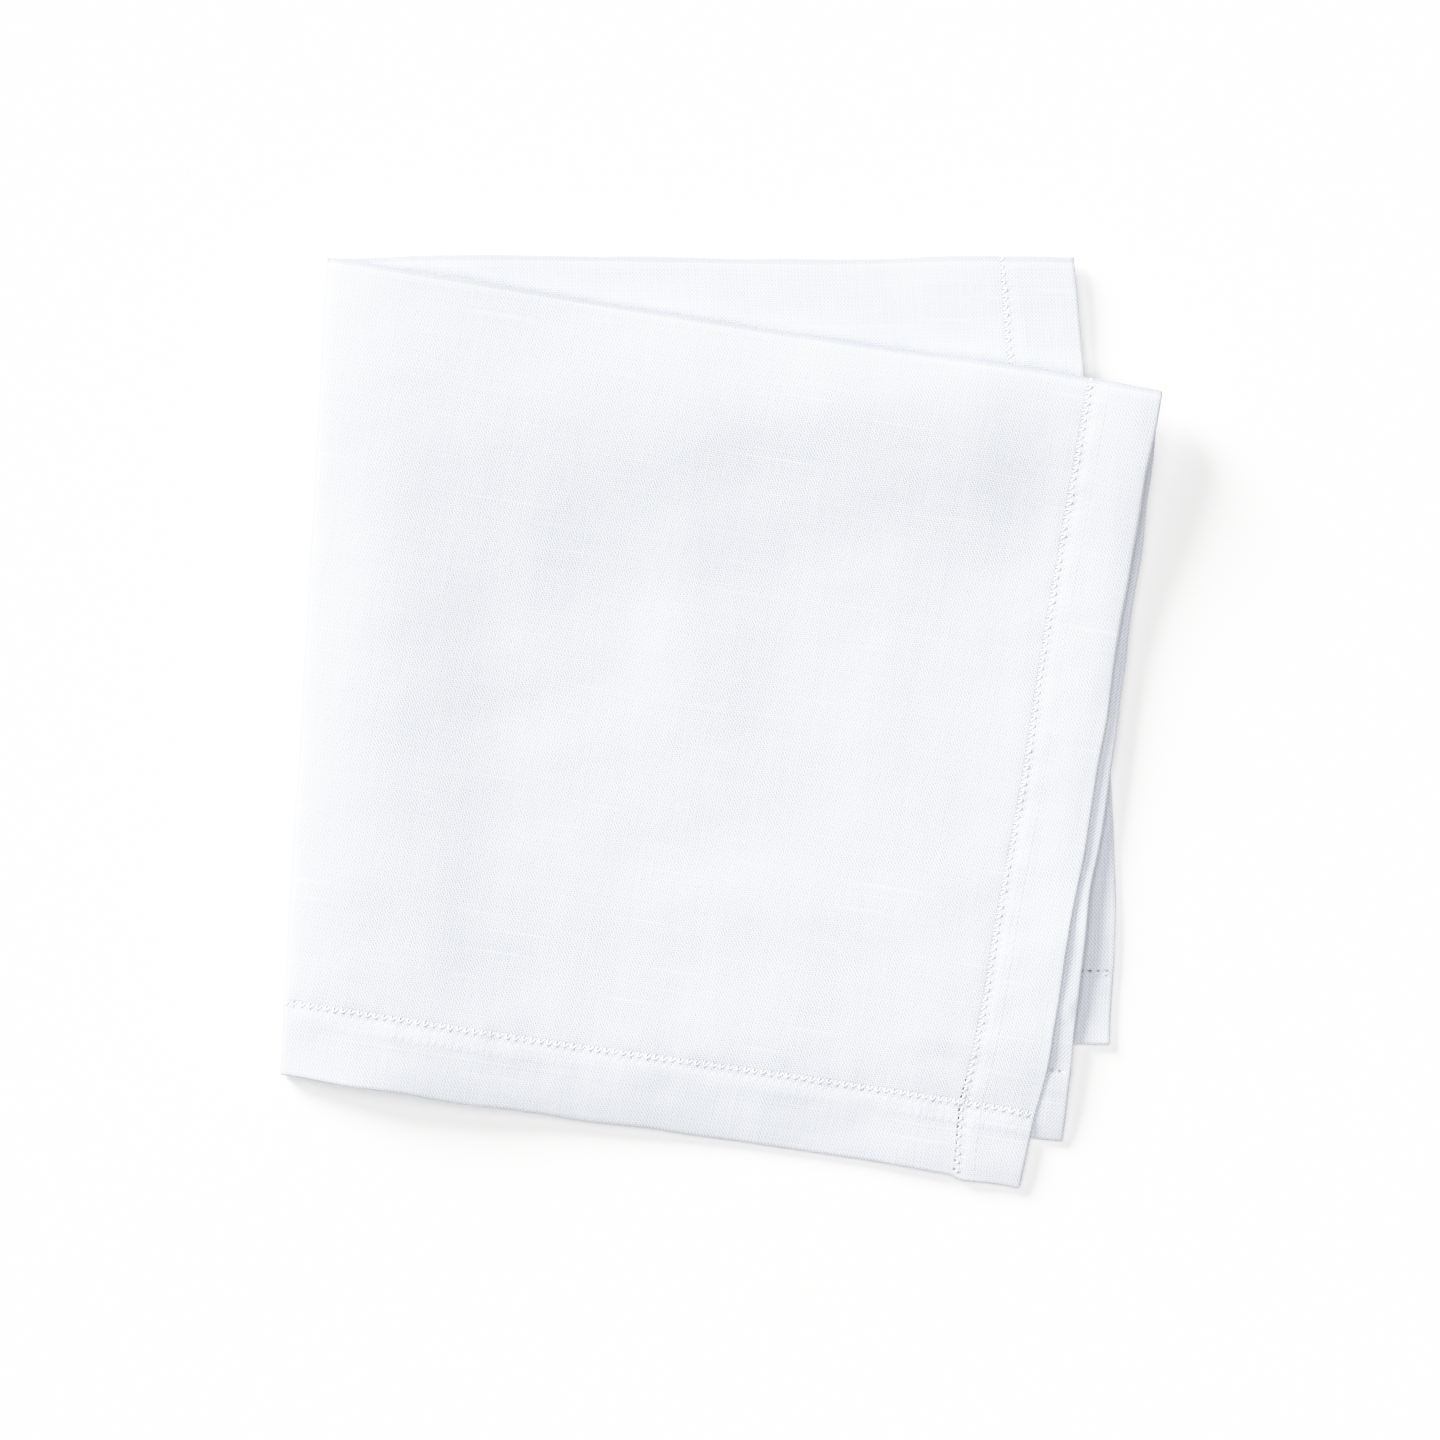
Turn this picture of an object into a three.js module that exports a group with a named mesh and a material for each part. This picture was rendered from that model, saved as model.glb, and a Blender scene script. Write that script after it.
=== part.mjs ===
import * as THREE from 'three';

// A pocket square of plain white linen with a turned hem on all four sides, folded
// in half and then in quarters, and laid down flat. The cloth is one sheet. Its
// first fold runs along the top and its second, a little askew, down the left side,
// so the upper pair of layers lies turned over the lower pair.
//
// Millimetres, +Z up. X runs to the right and Y away from whoever laid it down. The
// origin is the middle of the box of the folded square, on the surface it lies on.

// The sheet
const SHEET = 1.0; // thickness of the cloth
const HEM_WIDTH = 15; // turned hem, from its stitched line to its edge
const HEM_EXTRA = 0.1; // the turned hem is thicker, on the wrong side
const GROOVE_WIDTH = 1.8; // line of drawn threads that the hem is stitched along
const GROOVE_FLOOR = 0.6; // width of its bottom
const GROOVE_DEPTH = 0.25;
const QUARTER = 165; // side of a quarter of the square

// The folds
const TOP_FOLD_REACH = 1.1; // how far the first fold bulges past its layers
const OUTER_FOLD_REACH = 4.2; // how far the second fold bulges, outer layers
const INNER_FOLD_REACH = 1.9; // the same, inner layers, which end short of it
const FOLD_CORNER = { x: -81.5, y: 95.7 }; // where the two folds meet
const FOLD_FOOT = { x: -91.3, y: -73.7 }; // foot of the second fold
const INNER_FOOT_UP = 5.6; // the inner layers end this far above that foot

// One row a layer, from the lowest up: the height of its middle, its share of the
// swells below, whether it belongs to the upper pair, and its two right corners.
const LAYERS = {
  lowerOuter: { level: 0.5, share: 0, upper: 0, top: [73.4, 95.8], end: [78.6, -66.4] },
  lowerInner: { level: 1.95, share: 0.3, upper: 0, top: [73.4, 95.8], end: [80.8, -67.2] },
  upperInner: { level: 3.35, share: 0.6, upper: 1, top: [91.2, 68.0], end: [70.8, -87.4] },
  upperOuter: { level: 4.9, share: 1, upper: 1, top: [91.2, 68.0], end: [61.9, -96.4] },
};

// How far each edge strays outward from the straight line between its corners, in
// millimetres at each sixth of its length.
const STRAY = {
  lowerTop: [0.5, 0.4, 0, -0.4, 0.2],
  upperTop: [0, -0.2, -0.2, 0, 0.5],
  lowerOuterSide: [0.3, 0.8, 1.2, 1.4, 1.2],
  lowerInnerSide: [1.0, 1.6, 2.2, 2.5, 2.3],
  upperInnerSide: [0.2, -0.1, 0.1, -0.8, -0.6],
  upperOuterSide: [0.1, 0.3, 1.0, 1.0, 1.6],
  lowerOuterEnd: [0, 0, 0, 0, 0],
  lowerInnerEnd: [0, 0.2, 0, -0.2, 0],
  upperInnerEnd: [0, -0.3, 0, 0.3, 0],
  upperOuterEnd: [0.2, 0.3, 0, -0.3, -0.2],
};

// Long swells beside the two folds. crestFrom and crestTo are the distances of the
// crest from the fold, at the corner and at the far end of the fold, outward and
// inward are the widths of the two slopes, and rise is the height.
const FOLD_SWELLS = {
  besideSecond: { crestFrom: 17, crestTo: 9, outward: 24, inward: 35, rise: 3.6 },
  besideFirst: { crestFrom: 24, crestTo: 4, outward: 25, inward: 25, rise: 2.7 },
};

// Soft swells and dips of the upper layers: the middle of each, its length and
// width, the turn of its length from the Y axis in degrees, and its height.
const SWELLS = [
  { name: 'middle ridge', x: -8, y: 8, long: 30, wide: 12, turn: 6, rise: 0.9 },
  { name: 'dip left of it', x: -48, y: 5, long: 34, wide: 12, turn: 0, rise: -0.7 },
  { name: 'top right puff', x: 48, y: 66, long: 40, wide: 21, turn: -80, rise: 1.5 },
  { name: 'top left puff', x: -28, y: 52, long: 24, wide: 26, turn: 0, rise: 1.3 },
  { name: 'low crease', x: 15, y: -39, long: 26, wide: 8, turn: -84, rise: 0.5 },
];

// Corners that stand clear of what lies under them. upperOnly is 1 where only the
// upper pair lifts.
const LIFTS = [
  { name: 'upper pair, top right', x: 91, y: 68, spread: 26, rise: 2.2, upperOnly: 1 },
  { name: 'lower pair, top right', x: 74, y: 96, spread: 26, rise: 1.0, upperOnly: 0 },
];

// The inner layer of the lower pair stands open along its strip of the first fold.
const LOWER_PUFF = { crest: 6, wide: 12, rise: 1.2, fromX: -40, toX: 30 };

// Past the ends of the lower pair the upper pair sinks towards the surface.
const SINK = { depth: 1.2, from: -64.5, to: -88.5, fromX: -62, toX: 14 };

// The end of the top layer droops past the layer under it, more to the left.
const DROOP = { left: 1.4, right: 0.8, wide: 5, fromX: -15, toX: 25 };

// Fineness of the mesh
const FIELD_STEPS = 12; // across the open cloth of a layer
const FOLD_STEPS = 8; // round the second fold
const TOP_FOLD_STEPS = 6; // round the first fold

const LINEN = new THREE.MeshStandardMaterial({
  color: 0xf4f6fa,
  roughness: 0.9,
  metalness: 0,
  side: THREE.DoubleSide,
});

const vec = (x, y, z = 0) => new THREE.Vector3(x, y, z);
const mix = THREE.MathUtils.lerp;
const smooth = THREE.MathUtils.smoothstep;
const bell = (distance, width) => Math.exp(-((distance / width) ** 2));

const corner = vec(FOLD_CORNER.x, FOLD_CORNER.y);
const foot = vec(FOLD_FOOT.x, FOLD_FOOT.y);
const down = foot.clone().sub(corner).normalize(); // along the second fold
const inward = vec(-down.y, down.x); // from the second fold into the cloth
const up = down.clone().negate();
const innerFoot = foot.clone().addScaledVector(up, INNER_FOOT_UP);

// A side from one corner to the other with its stray, as a function of the share
// of the way along. outward points away from the cloth.
function side(from, to, stray, outward) {
  const line = to.clone().sub(from);
  const normal = vec(line.y, -line.x).normalize();
  if (normal.dot(outward) < 0) normal.negate();
  const strays = new THREE.SplineCurve([0, ...stray, 0].map((s) => new THREE.Vector2(s, 0)));
  return (t) => from.clone().addScaledVector(line, t)
    .addScaledVector(normal, strays.getPoint(t).x);
}

// How far a place lies inside the straight line through two corners.
function inside(x, y, from, to) {
  const line = vec(...to).sub(from).normalize();
  return (x - from.x) * line.y - (y - from.y) * line.x;
}

// Height that the folds and swells add at a place, for a layer with a full share.
function swell(x, y) {
  const fromSecond = vec(x, y).sub(corner).dot(inward);
  const fromFirst = inside(x, y, corner, LAYERS.upperOuter.top);
  const beside = (distance, share, { crestFrom, crestTo, outward, inward: inner, rise }) => {
    const fromCrest = distance - mix(crestFrom, crestTo, share);
    return rise * bell(fromCrest, fromCrest < 0 ? outward : inner);
  };
  const second = beside(fromSecond, (corner.y - y) / (2 * corner.y), FOLD_SWELLS.besideSecond);
  const first = beside(fromFirst, (x - corner.x) / (-2 * corner.x), FOLD_SWELLS.besideFirst);
  let height = Math.hypot(second, first);
  for (const { x: cx, y: cy, long, wide, turn, rise } of SWELLS) {
    const angle = THREE.MathUtils.degToRad(turn);
    const lengthwise = (y - cy) * Math.cos(angle) + (x - cx) * Math.sin(angle);
    const crosswise = (x - cx) * Math.cos(angle) - (y - cy) * Math.sin(angle);
    height += rise * bell(lengthwise, long) * bell(crosswise, wide);
  }
  return height;
}

// Height of a layer's middle at a place.
function height(layer, x, y) {
  let z = layer.level + layer.share * swell(x, y);
  for (const { x: cx, y: cy, spread, rise, upperOnly } of LIFTS) {
    if (layer.upper >= upperOnly) z += rise * bell(Math.hypot(x - cx, y - cy), spread);
  }
  if (layer === LAYERS.lowerInner) {
    const fromTop = inside(x, y, corner, layer.top);
    const fade = smooth(x, LOWER_PUFF.fromX, LOWER_PUFF.toX);
    z += LOWER_PUFF.rise * fade * bell(fromTop - LOWER_PUFF.crest, LOWER_PUFF.wide);
  }
  if (layer === LAYERS.upperOuter) {
    const fromEnd = -inside(x, y, foot, layer.end);
    const droop = mix(DROOP.left, DROOP.right, smooth(x, DROOP.fromX, DROOP.toX));
    z -= droop * bell(Math.max(fromEnd, 0), DROOP.wide);
  }
  const past = smooth(-y, -SINK.from, -SINK.to);
  const across = smooth(x, SINK.fromX, SINK.toX);
  return z - layer.upper * SINK.depth * past * across;
}

// The middle surface of one flat layer: across runs from the second fold to the
// right side and along from the first fold to the bottom end.
function flatLayer(name) {
  const layer = LAYERS[name];
  const pair = layer.upper ? 'upper' : 'lower';
  const foldEnd = name.endsWith('Outer') ? foot : innerFoot;
  const topLeft = corner.clone().addScaledVector(inward, OUTER_FOLD_REACH)
    .addScaledVector(down, TOP_FOLD_REACH);
  const topRight = vec(...layer.top).addScaledVector(down, TOP_FOLD_REACH);
  const endLeft = foldEnd.clone().addScaledVector(inward, OUTER_FOLD_REACH);
  const endRight = vec(...layer.end);
  const top = side(topLeft, topRight, STRAY[`${pair}Top`], up);
  const end = side(endLeft, endRight, STRAY[`${name}End`], down);
  const right = side(topRight, endRight, STRAY[`${name}Side`], inward);
  return (across, along) => {
    const rightStray = right(along).sub(topRight.clone().lerp(endRight, along));
    const place = top(across).lerp(end(across), along).addScaledVector(rightStray, across);
    place.z = height(layer, place.x, place.y);
    return place;
  };
}

const layers = Object.fromEntries(Object.keys(LAYERS).map((name) => [name, flatLayer(name)]));

// Shares of the way over a layer, with a row on each side of the stitched groove.
function stepsToHem() {
  const stitch = 1 - HEM_WIDTH / QUARTER;
  const lip = GROOVE_WIDTH / 2 / QUARTER;
  const floor = GROOVE_FLOOR / 2 / QUARTER;
  const field = Array.from({ length: FIELD_STEPS + 1 }, (_, i) => (stitch - lip) * i / FIELD_STEPS);
  const middleOfHem = (stitch + 1) / 2;
  return [...field, stitch - floor, stitch + floor, stitch + lip, middleOfHem, 1];
}

const steps = stepsToHem();

// How far a share of the way over a layer lies in the groove, and in the hem.
function hemShape(share) {
  const fromStitch = (share - 1) * QUARTER + HEM_WIDTH;
  const groove = Math.abs(fromStitch) < GROOVE_FLOOR ? GROOVE_DEPTH : 0;
  const hem = fromStitch > 0 ? HEM_EXTRA : 0;
  return { groove, hem };
}

// Stations across the cloth: the lower pair from its right side to the second
// fold, round that fold, and over the upper pair to its right side.
const stations = [
  ...steps.map((across) => ({ pair: 'lower', across })).reverse(),
  ...Array.from({ length: FOLD_STEPS - 1 }, (_, i) => ({ pair: 'fold', turn: (i + 1) / FOLD_STEPS })),
  ...steps.map((across) => ({ pair: 'upper', across })),
];

// A point of the outer or inner layer at a station, along is the share of the way
// from the first fold to the end.
function layerPoint(station, kind, along) {
  if (station.pair !== 'fold') return layers[station.pair + kind](station.across, along);
  const low = layers[`lower${kind}`](0, along);
  const high = layers[`upper${kind}`](0, along);
  const angle = (station.turn - 0.5) * Math.PI;
  const reach = kind === 'Outer' ? OUTER_FOLD_REACH : INNER_FOLD_REACH;
  const half = high.clone().sub(low).multiplyScalar(0.5);
  return low.add(high).multiplyScalar(0.5).addScaledVector(half, Math.sin(angle))
    .addScaledVector(inward, -reach * Math.cos(angle));
}

// The middle line of the cloth at a station: up the outer layer, over the first
// fold and down the inner layer.
function section(station) {
  const acrossHem = station.pair === 'fold' ? 0 : station.across;
  const inHem = (along) => {
    const one = hemShape(acrossHem);
    const other = hemShape(along);
    return { groove: Math.max(one.groove, other.groove), hem: Math.max(one.hem, other.hem) };
  };
  const leg = (kind) => steps.map((along) => (
    { place: layerPoint(station, kind, along), ...inHem(along) }));
  const outer = leg('Outer');
  const inner = leg('Inner');
  const middle = outer[0].place.clone().add(inner[0].place).multiplyScalar(0.5);
  const half = outer[0].place.clone().sub(middle);
  const turn = Array.from({ length: TOP_FOLD_STEPS - 1 }, (_, i) => {
    const angle = (i + 1) / TOP_FOLD_STEPS * Math.PI;
    const place = middle.clone().addScaledVector(half, Math.cos(angle))
      .addScaledVector(up, TOP_FOLD_REACH * Math.sin(angle));
    return { place, ...inHem(0) };
  });
  return [...outer.reverse(), ...turn, ...inner];
}

const sections = stations.map(section);

// Direction of the cloth's right side at one point of the net of sections.
function rightSide(row, column) {
  const last = sections.length - 1;
  const end = sections[0].length - 1;
  const place = (r, c) => sections[Math.min(Math.max(r, 0), last)][Math.min(Math.max(c, 0), end)].place;
  const over = place(row + 1, column).clone().sub(place(row - 1, column));
  const along = place(row, column + 1).clone().sub(place(row, column - 1));
  return over.cross(along).normalize();
}

// One closed solid: the right side and the wrong side of the sheet, and the edge
// of the cloth between them.
function clothGeometry() {
  const rows = sections.length;
  const columns = sections[0].length;
  const places = [];
  for (const wrongSide of [false, true]) {
    for (let row = 0; row < rows; row += 1) {
      for (let column = 0; column < columns; column += 1) {
        const { place, groove, hem } = sections[row][column];
        const offset = wrongSide ? -(SHEET / 2 + hem) : SHEET / 2 - groove;
        places.push(...place.clone().addScaledVector(rightSide(row, column), offset).toArray());
      }
    }
  }
  const faces = [];
  const quad = (a, b, c, d) => faces.push(a, b, c, a, c, d);
  const right = (row, column) => row * columns + column;
  const wrong = (row, column) => rows * columns + right(row, column);
  for (let row = 0; row < rows - 1; row += 1) {
    for (let column = 0; column < columns - 1; column += 1) {
      quad(right(row, column), right(row + 1, column), right(row + 1, column + 1), right(row, column + 1));
      quad(wrong(row, column), wrong(row, column + 1), wrong(row + 1, column + 1), wrong(row + 1, column));
    }
    quad(right(row + 1, 0), right(row, 0), wrong(row, 0), wrong(row + 1, 0));
    const end = columns - 1;
    quad(right(row, end), right(row + 1, end), wrong(row + 1, end), wrong(row, end));
  }
  for (let column = 0; column < columns - 1; column += 1) {
    quad(right(0, column), right(0, column + 1), wrong(0, column + 1), wrong(0, column));
    const last = rows - 1;
    quad(right(last, column + 1), right(last, column), wrong(last, column), wrong(last, column + 1));
  }
  const geometry = new THREE.BufferGeometry();
  geometry.setAttribute('position', new THREE.Float32BufferAttribute(places, 3));
  geometry.setIndex(faces);
  geometry.computeBoundingBox();
  const { min, max } = geometry.boundingBox;
  geometry.translate(-(min.x + max.x) / 2, -(min.y + max.y) / 2, -min.z);
  geometry.computeVertexNormals();
  return geometry;
}

const cloth = new THREE.Mesh(clothGeometry(), LINEN);
cloth.name = 'folded_linen_square';

const pocketSquare = new THREE.Group();
pocketSquare.add(cloth);

export default pocketSquare;
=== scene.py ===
# %% [markdown]
# A folded linen pocket square
#
# The object is a square of fine white linen, 33 cm a side, with a hemstitched hem on
# all four sides. It is folded in half, then in quarters, and laid down flat. This
# lesson makes it from one flat grid: the grid gets the cloth's holes and thickness
# while it is still flat, and is folded last, as a hand folds the real one. All lengths
# in the lesson's own tables are millimetres, and become metres when a mesh is folded.

import math

import bmesh
import bpy
import numpy as np
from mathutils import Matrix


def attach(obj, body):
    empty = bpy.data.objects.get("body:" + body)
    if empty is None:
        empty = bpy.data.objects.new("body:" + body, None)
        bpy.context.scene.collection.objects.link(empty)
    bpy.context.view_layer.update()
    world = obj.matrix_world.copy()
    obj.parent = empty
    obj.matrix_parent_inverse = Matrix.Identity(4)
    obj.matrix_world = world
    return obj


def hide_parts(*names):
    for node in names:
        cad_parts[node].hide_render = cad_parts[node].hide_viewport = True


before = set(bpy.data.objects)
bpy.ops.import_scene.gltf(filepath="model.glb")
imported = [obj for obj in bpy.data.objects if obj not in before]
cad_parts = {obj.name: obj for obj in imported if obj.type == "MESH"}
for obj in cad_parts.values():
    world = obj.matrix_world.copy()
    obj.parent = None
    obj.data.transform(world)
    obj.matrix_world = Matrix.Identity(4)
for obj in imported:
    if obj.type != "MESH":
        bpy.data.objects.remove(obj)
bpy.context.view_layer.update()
MM = 0.001

# %% [markdown]
# The cut of the cloth
#
# Every place on the unfolded cloth is named by two lengths. u runs along the weft, from
# the right edge of the lower pair of layers (0) over the second fold to the right edge
# of the upper pair (330). v runs along the warp: 0 is the first fold, the outer layers
# are below 0 and the inner layers above it. Two numbers that never change while the
# cloth bends keep the weave, the hem and the stitches straight on every layer.

# %% Sizes of the cloth
SIDE = 330.0
HALF = SIDE / 2
HEM = 15.0
CLOTH = 0.28
HEM_EXTRA = 0.30
DRAWN_WIDTH = 1.0
PITCH = 1.7
print("stitches along a side:", round(SIDE / PITCH))

# %% [markdown]
# Soft curves
#
# Cloth has no sharp numbers, so three small functions are used all through: a soft
# step, a bell, and a curve that drifts through a few values with nothing at its ends.

# %% Soft step, bell and drift
def mix(low, high, share):
    return low + (high - low) * share


def soft_step(value, low, high):
    share = np.clip((value - low) / (high - low), 0, 1)
    return share * share * (3 - 2 * share)


def bell(distance, width):
    return np.exp(-((distance / width) ** 2))


def drift(values, share):
    """A smooth curve through evenly spaced values, from 0 at share 0 to 0 at share 1."""
    knots = np.array([0.0, *values, 0.0])
    last = len(knots) - 1
    place = np.clip(share, 0, 1) * last
    left = np.minimum(place.astype(int), last - 1)
    part = place - left
    before, here = knots[np.maximum(left - 1, 0)], knots[left]
    there, after = knots[left + 1], knots[np.minimum(left + 2, last)]
    slope_here, slope_there = (there - before) / 2, (after - here) / 2
    return (here + slope_here * part
            + (3 * (there - here) - 2 * slope_here - slope_there) * part**2
            + (2 * (here - there) + slope_here + slope_there) * part**3)


print("drift check:", drift([1.0, 0.5], np.array([0, 1 / 3, 2 / 3, 1])))

# %% [markdown]
# The folds and the four layers
#
# The first fold runs along the top. The second runs down the left side, a little
# askew, so that the four layers fan out at the right. Each layer is a patch between
# its fold and its two free corners, and its edges stray a little from straight lines.

# %% Table of the layers
CORNER = np.array([-81.5, 95.7])
FOOT = np.array([-91.3, -73.7])
DOWN = (FOOT - CORNER) / np.linalg.norm(FOOT - CORNER)
UP = -DOWN
INWARD = np.array([-DOWN[1], DOWN[0]])
INNER_FOOT_UP = 5.6
TOP_FOLD_REACH = 0.7
SIDE_FOLD_REACH = {"outer": 1.0, "inner": 0.45}

# Height, share of the swells, whether it is in the upper pair, and its two free corners
LAYERS = {
    "lower outer": dict(level=0.20, share=0.0, upper=0, top=(73.4, 95.8), end=(78.6, -66.4)),
    "lower inner": dict(level=1.6, share=0.3, upper=0, top=(73.4, 95.8), end=(80.8, -67.2)),
    "upper inner": dict(level=3.6, share=0.6, upper=1, top=(91.2, 68.0), end=(70.8, -87.4)),
    "upper outer": dict(level=4.5, share=1.0, upper=1, top=(91.2, 68.0), end=(61.9, -96.4)),
}
# How far each edge bows outward at five places along it
STRAY = {
    "lower top": (0.5, 0.4, 0, -0.4, 0.2),
    "upper top": (0, -0.2, -0.2, 0, 0.5),
    "lower outer side": (0.3, 0.8, 1.2, 1.4, 1.2),
    "lower inner side": (1.0, 1.6, 2.2, 2.5, 2.3),
    "upper inner side": (0.2, -0.1, 0.1, -0.8, -0.6),
    "upper outer side": (0.1, 0.3, 1.0, 1.0, 1.6),
    "lower outer end": (0, 0, 0, 0, 0),
    "lower inner end": (0, 0.2, 0, -0.2, 0),
    "upper inner end": (0, -0.3, 0, 0.3, 0),
    "upper outer end": (0.2, 0.3, 0, -0.3, -0.2),
}
print("layers:", ", ".join(LAYERS))

# %% [markdown]
# The lie of the cloth
#
# Cloth that is laid down keeps air under its folds: a long swell runs beside each one,
# and softer ones lie between. The heights are a sum of bells, which is the simplest
# way to place each swell and crease.

# %% Swells and lifts
FOLD_SWELLS = {
    "beside second": dict(crest=(17, 9), outward=24, inward=35, rise=3.6),
    "beside first": dict(crest=(26, 4), outward=25, inward=25, rise=2.7),
}
# Name, middle, length, width, turn in degrees, and rise
SWELLS = [
    ("middle ridge", -8, 8, 30, 12, 6, 0.9),
    ("dip left of it", -48, 5, 34, 12, 0, -0.7),
    ("top right puff", 48, 66, 40, 21, -80, 1.5),
    ("top left puff", -28, 52, 24, 26, 0, 1.3),
    ("low crease", 15, -39, 26, 8, -84, 0.5),
    ("hollow by the side stitches", 65, 47, 16, 9, 6, -0.75),
    ("nip by the crossing", 45, -70, 6, 1.6, -84, -0.25),
]
# Name, middle, spread, and how far each layer rises there
LIFTS = [
    ("top right corner of the upper pair", 91, 68, 26, {"upper inner": 2.2, "upper outer": 2.2}),
    ("room between the layers there", 91, 68, 30, {"upper inner": -2.6}),
    ("top right corner of the lower pair", 74, 96, 26, dict.fromkeys(LAYERS, 1.0)),
    ("upper pair, low on the right", 79, -44, 12, {"upper inner": 1.0, "upper outer": 1.0}),
    ("flat corner at the foot", -91, -76, 16,
     {"lower inner": -0.55, "upper inner": -2.6, "upper outer": -3.1}),
]
FOLD_PRESS = dict(depth=0.6, reach=16)


def inside(x, y, start, stop):
    """Distance from the line through two places, positive to the right of its way."""
    line = np.array(stop, dtype=float) - np.array(start, dtype=float)
    line /= np.linalg.norm(line)
    return (x - start[0]) * line[1] - (y - start[1]) * line[0]


def beside_fold(distance, share, crest, outward, inward, rise):
    """The long swell beside a fold; its crest strays from one distance to another."""
    from_crest = distance - mix(*crest, share)
    return rise * bell(from_crest, np.where(from_crest < 0, outward, inward))


def swell(x, y):
    """How far the air under the folds lifts the top layer."""
    from_second = (x - CORNER[0]) * INWARD[0] + (y - CORNER[1]) * INWARD[1]
    from_first = inside(x, y, CORNER, LAYERS["upper outer"]["top"])
    down_share = (CORNER[1] - y) / (2 * CORNER[1])
    right_share = (x - CORNER[0]) / (-2 * CORNER[0])
    second = beside_fold(from_second, down_share, **FOLD_SWELLS["beside second"])
    first = beside_fold(from_first, right_share, **FOLD_SWELLS["beside first"])
    pressed = np.maximum(1 - from_second / FOLD_PRESS["reach"], 0)
    total = np.hypot(second, first) - FOLD_PRESS["depth"] * pressed**2
    for _, middle_x, middle_y, length, width, turn, rise in SWELLS:
        angle = math.radians(turn)
        lengthwise = (y - middle_y) * math.cos(angle) + (x - middle_x) * math.sin(angle)
        crosswise = (x - middle_x) * math.cos(angle) - (y - middle_y) * math.sin(angle)
        total = total + rise * bell(lengthwise, length) * bell(crosswise, width)
    return total


print("swell near the middle, mm:", round(float(swell(np.array([-8.0]), np.array([8.0]))[0]), 2))

# %% Height of a layer at a place
def droop(distance, depth, reach):
    """How far cloth sinks towards its free edge: deepest at the edge, gone past the reach."""
    return depth * np.exp(-np.maximum(distance, 0) / reach)


def end_sink(name, x, y):
    """The upper pair sinks to the floor past the end of the lower pair, its inner layer more so."""
    depth = mix(2.1, 1.7, soft_step(x, 10, 50))
    sink = depth * soft_step(-y, 64.5, 88.5) * soft_step(x, -62, 14)
    return sink * (1.12 - 0.5 * soft_step(x, 60, 68)) if name == "upper inner" else sink


def layer_height(name, x, y):
    """Height of a layer's middle over the floor."""
    layer = LAYERS[name]
    from_side = -inside(x, y, layer["end"], layer["top"])
    from_end = -inside(x, y, FOOT, layer["end"])
    z = layer["level"] + layer["share"] * swell(x, y)
    for _, middle_x, middle_y, spread, rises in LIFTS:
        z = z + rises.get(name, 0) * bell(np.hypot(x - middle_x, y - middle_y), spread)
    if layer["upper"]:
        z = z - end_sink(name, x, y)
    if name == "lower inner":
        behind_first_fold = bell(inside(x, y, CORNER, layer["top"]) - 6, 12)
        z = z + 0.5 * soft_step(x, -40, 30) * behind_first_fold
        z = z - droop(from_side, 0.12, 4) * soft_step(-y, -60, -20)
    if name == "upper inner":
        z = z - droop(from_side, mix(0.25, 0.35, soft_step(-y, 30, 75)), 4.5)
        z = z - droop(from_end, 1.4, 4.5) * soft_step(x, 59, 66)
    if name == "upper outer":
        halfway = bell(y, 28)
        z = z - droop(from_side, mix(0.2, 0.5, halfway), mix(2.2, 3.5, halfway))
        z = z - droop(from_end, mix(0.3, 0.92, soft_step(x, -85, -50)), 3.2)
        curl = mix(0.25, 1.8, soft_step(y, -45, 45)) * (1 - 0.5 * soft_step(y, 45, 66))
        z = z + curl * bell(np.maximum(from_side, 0), 11) * soft_step(y, -92, -66)
    return z


def heights_at(x, y):
    place = np.array([float(x)]), np.array([float(y)])
    return [round(float(layer_height(name, *place)[0]), 1) for name in LAYERS]


print("heights of the layers in the middle, mm:", heights_at(0, 0))

# %% One layer as a patch
def patch(name, across, along):
    """Places on a layer: across from its fold to its side, along from its top to its end."""
    pair, kind = name.split()
    layer = LAYERS[name]
    foot = FOOT if kind == "outer" else FOOT + UP * INNER_FOOT_UP
    top_left = CORNER + INWARD * SIDE_FOLD_REACH["outer"] + DOWN * TOP_FOLD_REACH
    top_right = np.array(layer["top"]) + DOWN * TOP_FOLD_REACH
    end_left = foot + INWARD * SIDE_FOLD_REACH["outer"]
    end_right = np.array(layer["end"])

    def edge(start, stop, stray, share, outward):
        line = stop - start
        normal = np.array([line[1], -line[0]]) / np.linalg.norm(line)
        normal = normal if normal @ outward > 0 else -normal
        return start + np.outer(share, line) + np.outer(drift(STRAY[stray], share), normal)

    top = edge(top_left, top_right, f"{pair} top", across, UP)
    end = edge(end_left, end_right, f"{name} end", across, DOWN)
    right = edge(top_right, end_right, f"{name} side", along, INWARD)
    bulge = right - top_right - np.outer(along, end_right - top_right)
    flat = top + (end - top) * along[:, None] + bulge * across[:, None]
    return np.column_stack([flat, layer_height(name, flat[:, 0], flat[:, 1])])


print("free corners, mm:", [patch(n, np.ones(1), np.ones(1))[0].round(1).tolist() for n in LAYERS])

# %% [markdown]
# Folding
#
# A place on the flat cloth goes to its layer, or into the round of a fold. The second
# fold crosses the threads at a slant of about six degrees, as it does on the real one,
# so the weave of the upper pair lies turned against the weave of the lower pair.

# %% From the flat cloth to the folded cloth
FOLD_AT_TOP = 154.4
FOLD_SLANT = 0.1033
SIDE_ARC = 2.8
TOP_ARC = 1.3


def second_fold(v):
    """Where the second fold crosses a thread of the weft."""
    return FOLD_AT_TOP + FOLD_SLANT * np.abs(v)


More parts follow.
